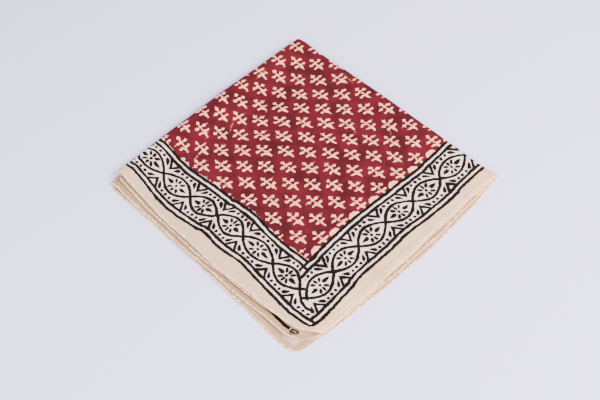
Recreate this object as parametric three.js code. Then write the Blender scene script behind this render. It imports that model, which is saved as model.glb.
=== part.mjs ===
// A square of block-printed cotton, folded in half twice and laid flat as a quarter.
// One sheet gives all four layers: layer 1 is on top with its face up, layers 2, 3 and 4 lie under it.
// The first fold runs along the -X side, the second one wraps all the layers along the +Y side.
// The four free corners lie together at +X, -Y. Millimetres, +Z up, underside on z = 0.
import * as THREE from "three";

// The sheet, unfolded
const clothHalf = 260;
const clothThick = 1.0;
const hemThick = 1.3;
const hemWide = 5.2;
const hemStep = 1.3;
const hemEdgeThick = 0.9;

// The stack
const layerPitch = 1.35;
const hemPitchMore = 0.4;
const hemPitchFrom = 105;
const hemPitchTo = 125;
const bendX = 3;
const bendY = 4;

// Lines of the mesh, as distances from the fold along the sheet
const lineSteps = [0, 0.34, 0.67, 1];
const flatLines = [9, 16, 25, 37, 53, 73, 97, 123, 149, 175, 201, 223, 239, 248.5];

// Where the folds meet, at the middle of the cloth
const middle = { x: -129.5, y: 125.5 };

// One row a layer: the end of its first fold at the hem, its free corner, the end of its second fold,
// the outward bow of the hem on each side, one wave along the +X hem, and the corner's rounding
const layers = [
  { foldX: -125.5, foldY: -121.5, freeX: 129, freeY: -123.5, endX: 130.5, bowY: 6, bowX: 1.5, wave: -1.2, round: 13 },
  { foldX: -125.5, foldY: -121.5, freeX: 129, freeY: -127.5, endX: 128.5, bowY: 6.5, bowX: 4.5, wave: -0.8, round: 15 },
  { foldX: -119.8, foldY: -133.5, freeX: 131, freeY: -131.5, endX: 128.5, bowY: 1.0, bowX: 6, wave: 0.6, round: 19 },
  { foldX: -119.8, foldY: -133.5, freeX: 131.5, freeY: -145, endX: 130.5, bowY: -3.5, bowX: 8.5, wave: 0.8, round: 15 },
];

// Air between two layers, beyond the pitch: gap 0 is layers 1 and 2, gap 1 is 2 and 3, gap 2 is 3 and 4
const puffs = [
  { gap: 0, x: -124, y: 96, longX: 14, longY: 42, rise: 2.5 },
  { gap: 0, x: -124, y: 18, longX: 16, longY: 46, rise: 3.3 },
  { gap: 0, x: -121, y: -62, longX: 14, longY: 44, rise: 2.7 },
  { gap: 0, x: -116, y: -120, longX: 15, longY: 20, rise: 1.9 },
  { gap: 1, x: -120, y: 5, longX: 19, longY: 105, rise: 1.4 },
  { gap: 2, x: -118, y: 20, longX: 15, longY: 100, rise: 1.1 },
  { gap: 2, x: -110, y: -128, longX: 20, longY: 15, rise: 1.1 },
  { gap: 0, x: -45, y: 119, longX: 60, longY: 11, rise: 0.8 },
  { gap: 0, x: 72, y: 120, longX: 52, longY: 10, rise: 0.6 },
  { gap: 1, x: -10, y: 118, longX: 100, longY: 13, rise: 1.3 },
  { gap: 2, x: 20, y: 118, longX: 95, longY: 12, rise: 0.8 },
  { gap: 0, x: -58, y: -124, longX: 52, longY: 11, rise: 0.9 },
  { gap: 1, x: 62, y: -126, longX: 46, longY: 11, rise: 0.6 },
  { gap: 2, x: -30, y: -131, longX: 66, longY: 10, rise: 0.7 },
  { gap: 1, x: 130, y: 4, longX: 12, longY: 52, rise: 0.8 },
  { gap: 0, x: -62, y: 46, longX: 26, longY: 30, rise: 0.5 },
  { gap: 1, x: 20, y: 20, longX: 40, longY: 26, rise: 0.6 },
  { gap: 0, x: 58, y: -58, longX: 34, longY: 24, rise: 0.5 },
  { gap: 1, x: -62, y: -74, longX: 30, longY: 26, rise: 0.7 },
];

// Small lifts of the lowest layer off the table, near its edges
const lifts = [
  { x: 34, y: -142, longX: 44, longY: 7, rise: 0.8 },
  { x: 139, y: -20, longX: 7, longY: 40, rise: 0.7 },
];

function smoothStep(from, to, value) {
  const t = Math.min(1, Math.max(0, (value - from) / (to - from)));
  return t * t * (3 - 2 * t);
}

function mound(row, x, y) {
  const dx = (x - row.x) / row.longX;
  const dy = (y - row.y) / row.longY;
  return row.rise * Math.exp(-dx * dx - dy * dy);
}

// Thickness at a place of the unfolded sheet: the turned hem runs round all four sides
function thicknessAt(u, v) {
  const inFromEdge = clothHalf - Math.max(Math.abs(u), Math.abs(v));
  if (inFromEdge < 0.8) {
    return hemEdgeThick;
  }
  const hem = 1 - smoothStep(hemWide, hemWide + hemStep, inFromEdge);
  return clothThick + (hemThick - clothThick) * hem;
}

// Height of a layer's middle above a place of the table: each layer rests on the one below it
function heightAt(layer, x, y, thick) {
  let z = 0.5 * (layer === 3 ? thick : clothThick);
  for (const row of lifts) {
    z += mound(row, x, y);
  }
  const nearHem = smoothStep(hemPitchFrom, hemPitchTo, Math.max(x, -y));
  for (let gap = 2; gap >= layer; gap -= 1) {
    z += layerPitch + hemPitchMore * nearHem;
    for (const row of puffs) {
      if (row.gap === gap) {
        z += mound(row, x, y);
      }
    }
  }
  return z;
}

// Place of a layer's point on the table, from its distances to the two folds as parts of the whole
function planAt(layer, acrossPart, downPart) {
  const row = layers[layer];
  const flatX = clothHalf - bendX;
  const flatY = clothHalf - bendY;
  const overX = Math.max(0, acrossPart * flatX - (flatX - row.round)) / row.round;
  const overY = Math.max(0, downPart * flatY - (flatY - row.round)) / row.round;
  const s = acrossPart - (row.round / flatX) * overX * (1 - Math.sqrt(1 - 0.5 * overY * overY));
  const r = downPart - (row.round / flatY) * overY * (1 - Math.sqrt(1 - 0.5 * overX * overX));
  const wMiddle = (1 - s) * (1 - r);
  const wFold = (1 - s) * r;
  const wEnd = s * (1 - r);
  const wFree = s * r;
  const bowX = (row.bowX * 4 * r * (1 - r) + row.wave * Math.sin(2 * Math.PI * r)) * s * s;
  const bowY = row.bowY * 4 * s * (1 - s) * r * r;
  return {
    x: middle.x * wMiddle + row.foldX * wFold + row.endX * wEnd + row.freeX * wFree + bowX,
    y: middle.y * wMiddle + row.foldY * wFold + middle.y * wEnd + row.freeY * wFree - bowY,
  };
}

// Middle surface of the sheet: u crosses the first fold at 0 and v crosses the second fold at 0
function sheetPoint(u, v) {
  const turnX = (Math.PI / 2) * Math.min(1, Math.max(-1, u / bendX));
  const turnY = (Math.PI / 2) * Math.min(1, Math.max(-1, v / bendY));
  const overX = Math.sin(turnX);
  const overY = Math.sin(turnY);
  const across = Math.max(0, Math.abs(u) - bendX) / (clothHalf - bendX);
  const down = Math.max(0, Math.abs(v) - bendY) / (clothHalf - bendY);
  const shares = [
    0.25 * (1 + overX) * (1 + overY),
    0.25 * (1 - overX) * (1 + overY),
    0.25 * (1 - overX) * (1 - overY),
    0.25 * (1 + overX) * (1 - overY),
  ];
  const thick = thicknessAt(u, v);
  const point = new THREE.Vector3();
  const heights = [];
  for (let layer = 0; layer < 4; layer += 1) {
    const plan = planAt(layer, across, down);
    heights.push(heightAt(layer, plan.x, plan.y, thick));
    point.x += shares[layer] * plan.x;
    point.y += shares[layer] * plan.y;
    point.z += shares[layer] * heights[layer];
  }
  const topFold = 0.5 * (heights[0] - heights[1]);
  const lowFold = 0.5 * (heights[2] - heights[3]);
  const outerWrap = 0.5 * (heights[0] - heights[3]);
  const innerWrap = 0.5 * (heights[1] - heights[2]);
  point.x -= Math.cos(turnX) * 0.5 * ((1 + overY) * topFold + (1 - overY) * lowFold);
  point.y += Math.cos(turnY) * 0.5 * ((1 + overX) * outerWrap + (1 - overX) * innerWrap);
  return point;
}

// Direction out of the printed face
function faceDirection(u, v) {
  const step = 0.05;
  const alongU = sheetPoint(Math.min(clothHalf, u + step), v);
  alongU.sub(sheetPoint(Math.max(-clothHalf, u - step), v));
  const alongV = sheetPoint(u, Math.min(clothHalf, v + step));
  alongV.sub(sheetPoint(u, Math.max(-clothHalf, v - step)));
  return alongV.cross(alongU).normalize();
}

// Mesh lines across the whole sheet, closer in the bends and along the hem
function meshLines(bend) {
  const half = lineSteps.map((part) => part * bend);
  half.push(...flatLines);
  half.push(clothHalf - hemWide - hemStep);
  half.push(clothHalf - hemWide);
  half.push(clothHalf - 0.8);
  half.push(clothHalf);
  const other = half.slice(1).reverse();
  return [...other.map((place) => -place), ...half];
}

function sheetSolid() {
  const linesU = meshLines(bendX);
  const linesV = meshLines(bendY);
  const countU = linesU.length;
  const countV = linesV.length;
  const face = [];
  const back = [];
  for (const v of linesV) {
    for (const u of linesU) {
      const point = sheetPoint(u, v);
      const out = faceDirection(u, v).multiplyScalar(0.5 * thicknessAt(u, v));
      const onFace = point.clone().add(out);
      const onBack = point.clone().sub(out);
      for (const place of [onFace, onBack]) {
        place.z = place.z < 0.04 ? 0 : place.z;
      }
      face.push(onFace);
      back.push(onBack);
    }
  }
  const places = [];
  for (const place of [...face, ...back]) {
    places.push(place.x, place.y, place.z);
  }
  const half = countU * countV;
  const triangles = [];
  for (let j = 0; j < countV - 1; j += 1) {
    for (let i = 0; i < countU - 1; i += 1) {
      const a = j * countU + i;
      const b = a + 1;
      const c = a + countU + 1;
      const d = a + countU;
      triangles.push(a, d, b, b, d, c);
      triangles.push(half + a, half + b, half + d, half + b, half + c, half + d);
    }
  }
  const rim = [];
  for (let i = 0; i < countU - 1; i += 1) {
    rim.push([i, i + 1]);
    rim.push([(countV - 1) * countU + i + 1, (countV - 1) * countU + i]);
  }
  for (let j = 0; j < countV - 1; j += 1) {
    rim.push([(j + 1) * countU, j * countU]);
    rim.push([j * countU + countU - 1, (j + 1) * countU + countU - 1]);
  }
  for (const [from, to] of rim) {
    triangles.push(from, to, half + from, to, half + to, half + from);
  }
  const geometry = new THREE.BufferGeometry();
  geometry.setAttribute("position", new THREE.Float32BufferAttribute(places, 3));
  geometry.setIndex(triangles);
  geometry.computeVertexNormals();
  geometry.computeBoundingBox();
  const centre = geometry.boundingBox.getCenter(new THREE.Vector3());
  geometry.translate(-centre.x, -centre.y, -geometry.boundingBox.min.z);
  return geometry;
}

const printedCotton = new THREE.MeshStandardMaterial({
  name: "printed_cotton",
  color: 0x94383b,
  roughness: 0.9,
  metalness: 0,
  side: THREE.DoubleSide,
});

const group = new THREE.Group();
group.name = "folded_ajrakh_cloth";

const cloth = new THREE.Mesh(sheetSolid(), printedCotton);
cloth.name = "folded_cloth";
group.add(cloth);

export default group;
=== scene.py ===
import math

import bpy
import numpy as np
from mathutils import Matrix, Vector


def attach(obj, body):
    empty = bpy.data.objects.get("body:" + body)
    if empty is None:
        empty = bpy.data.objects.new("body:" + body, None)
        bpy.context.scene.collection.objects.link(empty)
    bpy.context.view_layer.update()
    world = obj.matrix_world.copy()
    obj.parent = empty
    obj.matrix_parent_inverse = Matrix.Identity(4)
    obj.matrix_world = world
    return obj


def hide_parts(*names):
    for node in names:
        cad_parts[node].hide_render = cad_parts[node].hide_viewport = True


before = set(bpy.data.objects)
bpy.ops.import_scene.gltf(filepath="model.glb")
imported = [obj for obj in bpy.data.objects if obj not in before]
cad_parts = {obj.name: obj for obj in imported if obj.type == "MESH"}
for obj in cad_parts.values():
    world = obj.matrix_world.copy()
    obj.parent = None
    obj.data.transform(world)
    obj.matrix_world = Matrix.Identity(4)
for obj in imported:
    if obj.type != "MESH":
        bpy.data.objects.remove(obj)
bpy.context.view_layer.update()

scene = bpy.context.scene
print("frame loaded")


# a short telephoto look down across the near corner, as the photograph was taken
cameraView = {
    "turn": 44.8,  # degrees round from looking along +Y
    "height": 52.6,  # degrees above the table
    "distance": 1.023,  # metres
    "target": (0.0122, -0.0141, 0.0),
    "lens": 66.0,  # mm
    "sensor": 36.0,  # mm wide
    "nearest": 0.05,  # metres
}


def placeCamera(view):
    turn = math.radians(view["turn"])
    height = math.radians(view["height"])
    level = math.cos(height)
    back = Vector((math.sin(turn) * level, -math.cos(turn) * level, math.sin(height)))
    right = Vector((math.cos(turn), math.sin(turn), 0.0))
    up = back.cross(right)
    data = bpy.data.cameras.new("studioCamera")
    data.lens = view["lens"]
    data.sensor_width = view["sensor"]
    data.clip_start = view["nearest"]
    camera = bpy.data.objects.new("studioCamera", data)
    scene.collection.objects.link(camera)
    axes = Matrix((right, up, back)).transposed().to_4x4()
    axes.translation = Vector(view["target"]) + back * view["distance"]
    camera.matrix_world = axes
    scene.camera = camera


placeCamera(cameraView)
print("camera placed")


def linearColour(hexText):
    parts = [int(hexText[i:i + 2], 16) / 255 for i in (1, 3, 5)]
    return tuple(p / 12.92 if p <= 0.04045 else ((p + 0.055) / 1.055) ** 2.4 for p in parts) + (1.0,)


def addNode(tree, kind, settings=None, *sources):
    # settings are the node's own properties or its named sockets, or only its operation;
    # sources fill the sockets in use, in order, and a node gives its first output in use
    node = tree.nodes.new("ShaderNode" + kind)
    if isinstance(settings, str):
        settings = {"operation": settings}

    def plug(socket, source):
        if isinstance(source, bpy.types.Node):
            source = next(output for output in source.outputs if output.enabled)
        if isinstance(source, bpy.types.NodeSocket):
            tree.links.new(source, socket)
        elif source is not None:
            socket.default_value = source

    for name, value in (settings or {}).items():
        if name in node.inputs:
            plug(node.inputs[name], value)
        else:
            setattr(node, name, value)
    inUse = [socket for socket in node.inputs if socket.enabled]
    for socket, source in zip(inUse, sources):
        plug(socket, source)
    return node


softly = {"interpolation_type": "SMOOTHSTEP"}
blend = {"data_type": "RGBA"}


def bareMaterial(name):
    material = bpy.data.materials.new(name)
    material.use_nodes = True
    material.node_tree.nodes.clear()
    return material, material.node_tree


# The cloth's folded shape, all lengths in millimetres. The sheet is a square, unfolded from -half to half
# both ways (u, v). Layer 0 is on top (u and v positive), 1 under it (u negative), 2 (both negative) and
# 3 lowest (v negative).
clothShape = {
    "half": 260.0,
    "thick": 0.42,
    "hemThick": 1.0,
    "hemWide": 5.2,
    "hemStep": 0.7,  # over which the cloth thickens into its hem
    "edgeBlunt": 0.02,  # keeps the rounded edge of the hem from closing to nothing
    "bendX": 3.0,
    "bendY": 4.0,
    "pitch": 1.35,  # from one layer's middle to the next
    "hemPitchMore": 0.4,
    "hemPitchFrom": 105.0,
    "hemPitchTo": 125.0,
    "middle": (-129.5, 124.7),  # where the two folds cross
    "centre": (4.075, -7.117),  # middle of the solid's box, in these plan sizes
    "drawIn": 3.0,  # the stiff hem draws the end of the first fold in
    "drawInReach": (10.0, 7.0),
    "cornerSink": 2.4,  # the corner with four layers of fold draws towards the hems
    "cornerSinkReach": (32.0, 28.0),
    "slipRise": 3.5,  # an under layer's hem slips out within this of the fold
    "slipFade": 60.0,
    "flareFrom": 0.965,  # share of the side where a margin starts to widen
    "hemRipple": (0.22, 0.075, 2.1),  # rise and fall of each free edge: size, how often, shift to the next layer
    "slackness": 0.07,  # faint unevenness of the top layer
    "fineStep": 2.2,
    "coarseStep": 6.5,
    "bendParts": (8, 6),  # mesh lines round a bend, on the top layer's side and on the other
    "flatEnd": 1.5,  # the even lines stop this far before the hem
    "hemLines": (-0.8, -0.4, 0.0, 1.2, 2.6),  # mesh lines from the hem's inner side
    "edgeLines": (1.2, 0.55, 0.25, 0.08, 0.0),  # and from its outer edge
}

# for each layer: end of the first fold (x, y), free corner (x, y), end of the second fold x, bow of each hem,
# its wave, rounding of the corner, how far its hem slips out beside the one above, and how much wider its
# margin runs towards the free corner
layerRows = [
    {"fold": (-125.5, -121.5), "free": (129.0, -122.4), "endX": 130.5, "bowY": 7.6, "bowX": 1.5,
     "wave": -1.2, "round": 20.4, "slip": 0.0, "flare": 4.5},
    {"fold": (-125.5, -121.5), "free": (126.5, -120.6), "endX": 128.5, "bowY": 10.0, "bowX": 4.5,
     "wave": -0.8, "round": 17.0, "slip": 4.6, "flare": 3.0},
    {"fold": (-123.8, -133.2), "free": (131.0, -132.2), "endX": 128.5, "bowY": 2.8, "bowX": 6.0,
     "wave": 0.6, "round": 25.4, "slip": 0.0, "flare": 0.0},
    {"fold": (-123.8, -133.2), "free": (130.5, -143.0), "endX": 130.5, "bowY": -1.4, "bowX": 8.5,
     "wave": 0.8, "round": 15.0, "slip": 2.8, "flare": 0.0},
]

# hand-turned hems are never quite straight: size, how often, shift from layer to layer
hemWander = {
    "shift": 1.7,
    "power": 24,  # the higher, the nearer to the hem its wandering stays
    "x": [(0.45, 0.11, 1), (0.22, 0.43, 2), (0.12, 1.05, 0)],
    "y": [(0.45, 0.09, 1), (0.24, 0.39, 3), (0.12, 0.97, 0)],
}

# gap between two layers, x, y, half length each way, rise
airPuffs = [
    (0, -124, 96, 14, 42, 2.5),
    (0, -124, 18, 16, 46, 3.3),
    (0, -121, -62, 14, 44, 2.7),
    (0, -117, -119, 14, 16, 2.5),
    (1, -120, 5, 19, 105, 1.4),
    (2, -118, 20, 15, 100, 1.1),
    (2, -110, -128, 20, 15, 1.1),
    (0, -45, 119, 60, 11, 0.8),
    (0, 72, 120, 52, 10, 0.6),
    (1, -10, 118, 100, 13, 1.3),
    (2, 20, 118, 95, 12, 0.8),
    (0, -58, -124, 52, 11, 0.9),
    (0, 132, -8, 9, 70, 0.9),
    (1, 62, -126, 46, 11, 0.6),
    (2, -30, -131, 66, 10, 0.7),
    (1, 130, 4, 12, 52, 0.8),
    (0, -62, 46, 26, 30, 0.5),
    (1, 20, 20, 40, 26, 0.6),
    (0, 58, -58, 34, 24, 0.5),
    (1, -62, -74, 30, 26, 0.7),
]
# where the lowest layer stands off the table: x, y, half length each way, rise
tableLifts = [(34, -142, 44, 7, 0.8), (139, -20, 7, 40, 0.7)]

# creases of the top layer: from (x, y) to (x, y), half width, height (a trough is below 0), waviness
topCreases = [
    ((-93, -44), (-86, 52), 2.6, -0.55, 1.6),
    ((-98, 60), (-91, 118), 3.0, -0.35, 2.0),
    ((-84, -18), (-40, -2), 2.4, 0.28, 1.5),
    ((-100, -58), (-60, -104), 3.2, 0.30, 2.4),
    ((-70, 70), (-6, 98), 3.4, 0.35, 2.0),
    ((-20, 96), (58, 78), 3.4, -0.32, 2.0),
    ((64, 96), (112, 60), 3.0, 0.30, 1.6),
    ((-10, 26), (44, 40), 4.2, 0.25, 2.2),
    ((10, -30), (70, -64), 4.0, -0.25, 2.2),
    ((96, 20), (126, -42), 3.0, 0.28, 1.4),
    ((-48, -84), (6, -122), 3.0, 0.25, 1.8),
    ((66, -96), (118, -112), 2.8, 0.32, 1.2),
]
creaseStyle = {
    "fade": (-6, 14),  # a crease comes up from nothing between these places, from either end
    "waver": 0.09,  # how often it leaves its straight line
    "swell": 0.2,  # share of its height that comes and goes along it
    "swellOften": 0.21,
}

# small pulls of the machine stitching, close to the hem
hemPuckers = {
    "inFromEdge": 5.0,
    "reach": 4.5,
    "height": 0.07,
    "waves": [(1.0, 0.93, 1.9, 0.131), (0.6, 1.61, 2.3, 0.083)],  # share, how often, sway, how often it sways
}


def smoothStep(start, end, value):
    t = np.clip((value - start) / (end - start), 0, 1)
    return t * t * (3 - 2 * t)


def hemDistance(u, v):
    return clothShape["half"] - np.maximum(np.abs(u), np.abs(v))


def halfThickness(u, v):
    # thin cloth, with the turned hem three cloths thick and its edge rounded over
    inside = hemDistance(u, v)
    cloth = 0.5 * clothShape["thick"]
    hem = 0.5 * clothShape["hemThick"]
    hemEnd = clothShape["hemWide"] + clothShape["hemStep"]
    body = cloth + (hem - cloth) * (1 - smoothStep(clothShape["hemWide"], hemEnd, inside))
    nose = np.clip(inside / hem, 0, 1)
    return body * np.sqrt(np.clip(1 - (1 - nose) ** 2, clothShape["edgeBlunt"], 1))


def planPlaces(layer, across, down):
    # where a layer lies on the table: across and down run from 0 at the folds to 1 at the hems
    row = layerRows[layer]
    flatX = clothShape["half"] - clothShape["bendX"]
    flatY = clothShape["half"] - clothShape["bendY"]
    turned = row["round"]
    overX = np.maximum(0, across * flatX - (flatX - turned)) / turned
    overY = np.maximum(0, down * flatY - (flatY - turned)) / turned
    s = across - turned / flatX * overX * (1 - np.sqrt(1 - 0.5 * overY ** 2))
    r = down - turned / flatY * overY * (1 - np.sqrt(1 - 0.5 * overX ** 2))
    midX, midY = clothShape["middle"]
    foldX, foldY = row["fold"]
    freeX, freeY = row["free"]
    bowX = (row["bowX"] * 4 * r * (1 - r) + row["wave"] * np.sin(2 * np.pi * r)) * s ** 2
    bowY = row["bowY"] * 4 * s * (1 - s) * r ** 2
    x = midX * (1 - s) * (1 - r) + foldX * (1 - s) * r + row["endX"] * s * (1 - r) + freeX * s * r + bowX
    y = midY * (1 - r) + foldY * (1 - s) * r + freeY * s * r - bowY
    x = x + row["flare"] * smoothStep(clothShape["flareFrom"], 1.0, s) * r ** 2
    fromFoldX, fromFoldY, toHemY = s * flatX, r * flatY, (1 - r) * flatY
    reachX, reachY = clothShape["drawInReach"]
    x = x + clothShape["drawIn"] * np.exp(-(toHemY / reachY) ** 2 - (fromFoldX / reachX) ** 2)
    reachX, reachY = clothShape["cornerSinkReach"]
    y = y - clothShape["cornerSink"] * np.exp(-fromFoldX / reachX - fromFoldY / reachY)
    slipShape = (1 - np.exp(-(fromFoldX / clothShape["slipRise"]) ** 2)) * np.exp(-fromFoldX / clothShape["slipFade"])
    y = y - row["slip"] * r ** 6 * slipShape
    shift, power = hemWander["shift"] * layer, hemWander["power"]
    x = x + s ** power * sum(size * np.sin(often * y + turns * shift) for size, often, turns in hemWander["x"])
    y = y - r ** power * sum(size * np.sin(often * x + turns * shift) for size, often, turns in hemWander["y"])
    return x, y


def creaseRise(x, y):
    total = np.zeros_like(x)
    for start, end, wide, rise, wavy in topCreases:
        ax, ay = start
        dx, dy = end[0] - ax, end[1] - ay
        length = math.hypot(dx, dy)
        dx, dy = dx / length, dy / length
        along = (x - ax) * dx + (y - ay) * dy
        aside = (x - ax) * dy - (y - ay) * dx + wavy * np.sin(along * creaseStyle["waver"] + ax)
        fade = smoothStep(*creaseStyle["fade"], along) * smoothStep(*creaseStyle["fade"], length - along)
        swell = creaseStyle["swell"]
        swell = 1 - swell + swell * np.sin(along * creaseStyle["swellOften"] + ay)
        total += rise * fade * np.exp(-(aside / wide) ** 2) * swell
    return total


def puff(x, y, middleX, middleY, longX, longY, rise):
    # a low soft rise in the cloth
    return rise * np.exp(-((x - middleX) / longX) ** 2 - ((y - middleY) / longY) ** 2)


def layerHeight(layer, x, y, lowestHalf):
    z = lowestHalf if layer == 3 else np.full_like(x, 0.5 * clothShape["thick"])
    for lift in tableLifts:
        z = z + puff(x, y, *lift)
    nearHem = smoothStep(clothShape["hemPitchFrom"], clothShape["hemPitchTo"], np.maximum(x, -y))
    for gap in range(2, layer - 1, -1):
        z = z + clothShape["pitch"] + clothShape["hemPitchMore"] * nearHem
        for which, *air in airPuffs:
            if which == gap:
                z = z + puff(x, y, *air)
        # each free edge rises and falls a little on the one under it
        if gap == layer:
            size, often, shift = clothShape["hemRipple"]
            z = z + nearHem * size * np.sin(often * (x - y) + shift * layer)
    if layer == 0:
        z = z + creaseRise(x, y)
        z = z + clothShape["slackness"] * np.sin(0.16 * x + 0.05 * y) * np.sin(0.12 * y - 0.04 * x + 1.0)
    return z


def sheetMiddle(u, v):
    # the middle of the cloth's thickness: four layers, joined by a turn along each fold
    half, bendX, bendY = clothShape["half"], clothShape["bendX"], clothShape["bendY"]
    turnX = 0.5 * np.pi * np.clip(u / bendX, -1, 1)
    turnY = 0.5 * np.pi * np.clip(v / bendY, -1, 1)
    overX, overY = np.sin(turnX), np.sin(turnY)
    across = np.maximum(0, np.abs(u) - bendX) / (half - bendX)
    down = np.maximum(0, np.abs(v) - bendY) / (half - bendY)
    shares = [
        0.25 * (1 + overX) * (1 + overY),
        0.25 * (1 - overX) * (1 + overY),
        0.25 * (1 - overX) * (1 - overY),
        0.25 * (1 + overX) * (1 - overY),
    ]
    lowestHalf = halfThickness(u, v)
    x, y, z, heights = 0, 0, 0, []
    for layer in range(4):
        planX, planY = planPlaces(layer, across, down)
        heights.append(layerHeight(layer, planX, planY, lowestHalf))
        x = x + shares[layer] * planX
        y = y + shares[layer] * planY
        z = z + shares[layer] * heights[layer]
    topFold = 0.5 * (heights[0] - heights[1])
    lowFold = 0.5 * (heights[2] - heights[3])
    outerWrap = 0.5 * (heights[0] - heights[3])
    innerWrap = 0.5 * (heights[1] - heights[2])
    x = x - np.cos(turnX) * 0.5 * ((1 + overY) * topFold + (1 - overY) * lowFold)
    y = y + np.cos(turnY) * 0.5 * ((1 + overX) * outerWrap + (1 - overX) * innerWrap)
    return np.stack([x - clothShape["centre"][0], y - clothShape["centre"][1], z], -1)


def unit(vectors):
    return vectors / np.linalg.norm(vectors, axis=-1, keepdims=True)


def faceDirection(u, v):
    half, step = clothShape["half"], 0.05
    alongU = sheetMiddle(np.minimum(half, u + step), v) - sheetMiddle(np.maximum(-half, u - step), v)
    alongV = sheetMiddle(u, np.minimum(half, v + step)) - sheetMiddle(u, np.maximum(-half, v - step))
    return unit(np.cross(alongV, alongU))


def pucker(u, v):
    near = np.exp(-((hemDistance(u, v) - hemPuckers["inFromEdge"]) / hemPuckers["reach"]) ** 2)
    place = np.where(np.abs(u) > np.abs(v), v, u)
    wave = sum(share * np.sin(often * place + sway * np.sin(swayOften * place))
               for share, often, sway, swayOften in hemPuckers["waves"])
    return hemPuckers["height"] * near * wave


def puckerLift(u, v, middle):
    # the cloth that lies on the table doesn't pucker
    return (pucker(u, v) * (middle[..., 2] > 1.0))[..., None]


def meshLines(bend, step, bendParts):
    # close together round the bend, even over the flat part, close again at the hem
    half = clothShape["half"]
    hem = half - clothShape["hemWide"]
    flatEnd = hem - clothShape["flatEnd"]
    count = max(2, round((flatEnd - bend) / step))
    lines = [bend * i / bendParts for i in range(bendParts + 1)]
    lines += [bend + (flatEnd - bend) * i / count for i in range(1, count + 1)]
    lines += [hem + more for more in clothShape["hemLines"]]
    return lines + [half - less for less in clothShape["edgeLines"]]


def bothWays(bend):
    # the hidden layers need fewer lines
    fineParts, coarseParts = clothShape["bendParts"]
    fine = meshLines(bend, clothShape["fineStep"], fineParts)
    coarse = meshLines(bend, clothShape["coarseStep"], coarseParts)
    return np.array([-p for p in reversed(coarse[1:])] + fine)


# where each quarter of each face lies in the baked picture: x, y, side
bakeRooms = {
    ("face", 0): (0.004, 0.004, 0.696),
    ("face", 3): (0.712, 0.004, 0.282),
    ("face", 2): (0.712, 0.292, 0.282),
    ("face", 1): (0.712, 0.580, 0.282),
    ("back", 0): (0.004, 0.712, 0.282),
    ("back", 3): (0.296, 0.712, 0.196),
    ("back", 1): (0.502, 0.712, 0.196),
    ("back", 2): (0.712, 0.872, 0.120),
}
bakeEdge = 0.6  # mm left free round each quarter
rimShare = 0.0018  # of a room's side, for the thin rim


def clothQuads(countU, countV):
    # faces of the printed side, of the wrong side and of the thin rim between them
    total = countU * countV
    i, j = np.meshgrid(np.arange(countU - 1), np.arange(countV - 1))
    a = (j * countU + i).ravel()
    faceQuads = np.stack([a, a + countU, a + countU + 1, a + 1], 1)
    backQuads = np.stack([a, a + 1, a + countU + 1, a + countU], 1) + total
    rim = []
    for k in range(countU - 1):
        rim.append((k, k + 1))
        rim.append(((countV - 1) * countU + k + 1, (countV - 1) * countU + k))
    for k in range(countV - 1):
        rim.append(((k + 1) * countU, k * countU))
        rim.append((k * countU + countU - 1, (k + 1) * countU + countU - 1))
    rimQuads = np.array([(p, q, q + total, p + total) for p, q in rim])
    return faceQuads, backQuads, rimQuads


def bakePlaces(flatU, flatV, quads, rimStart):
    # rooms for the bake, with most of it for the side that is seen
    middleU, middleV = flatU[quads].mean(1), flatV[quads].mean(1)
    layerOf = np.where(middleU > 0, np.where(middleV > 0, 0, 3), np.where(middleV > 0, 1, 2))
    order = np.arange(len(quads))
    isBack = (order >= rimStart // 2) & (order < rimStart)
    baked = np.zeros((len(quads), 4, 2))
    span = clothShape["half"] + bakeEdge
    for (side, layer), (roomX, roomY, size) in bakeRooms.items():
        mine = (layerOf == layer) & (isBack == (side == "back"))
        partU, partV = np.abs(flatU[quads[mine]]) / span, np.abs(flatV[quads[mine]]) / span
        baked[mine] = np.stack([roomX + size * partU, roomY + size * partV], -1)
    # the thin rim gets its own sliver beyond each edge
    for k in range(rimStart, len(quads)):
        size = bakeRooms[("face", int(layerOf[k]))][2]
        onU = abs(middleU[k]) > clothShape["half"] - 0.01
        baked[k, 2:, 0 if onU else 1] += size * rimShare
    return baked


def buildCloth():
    linesU, linesV = bothWays(clothShape["bendX"]), bothWays(clothShape["bendY"])
    u, v = np.meshgrid(linesU, linesV)
    middle, out = sheetMiddle(u, v), faceDirection(u, v)
    half = halfThickness(u, v)[..., None]
    middle = middle + out * puckerLift(u, v, middle)
    face, back = middle + out * half, middle - out * half
    points = np.concatenate([face.reshape(-1, 3), back.reshape(-1, 3)]) / 1000
    points[:, 2] = np.maximum(points[:, 2], 0)
    faceQuads, backQuads, rimQuads = clothQuads(len(linesU), len(linesV))
    quads = np.concatenate([faceQuads, backQuads, rimQuads])
    mesh = bpy.data.meshes.new("foldedCloth")
    mesh.vertices.add(len(points))
    mesh.vertices.foreach_set("co", points.ravel())
    mesh.loops.add(quads.size)
    mesh.loops.foreach_set("vertex_index", quads.ravel())
    mesh.polygons.add(len(quads))
    mesh.polygons.foreach_set("loop_start", np.arange(len(quads)) * 4)
    mesh.polygons.foreach_set("loop_total", np.full(len(quads), 4))
    mesh.update(calc_edges=True)
    mesh.validate()
    mesh.shade_smooth()

    # the print's place on the sheet, in metres from the middle of the cloth
    flatU, flatV = np.tile(u.ravel(), 2), np.tile(v.ravel(), 2)
    corners = quads.ravel()
    printMap = mesh.uv_layers.new(name="clothPrint")
    printMap.data.foreach_set("uv", np.stack([flatU[corners], flatV[corners]], 1).ravel() / 1000)
    bakeMap = mesh.uv_layers.new(name="OFBake")
    rimStart = len(faceQuads) + len(backQuads)
    bakeMap.data.foreach_set("uv", bakePlaces(flatU, flatV, quads, rimStart).ravel())

    wrong = mesh.attributes.new("wrongSide", "FLOAT", "POINT")
    wrong.data.foreach_set("value", np.repeat([0.0, 1.0], u.size))
    cloth = bpy.data.objects.new("printedCloth", mesh)
    scene.collection.objects.link(cloth)
    return cloth


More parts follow.
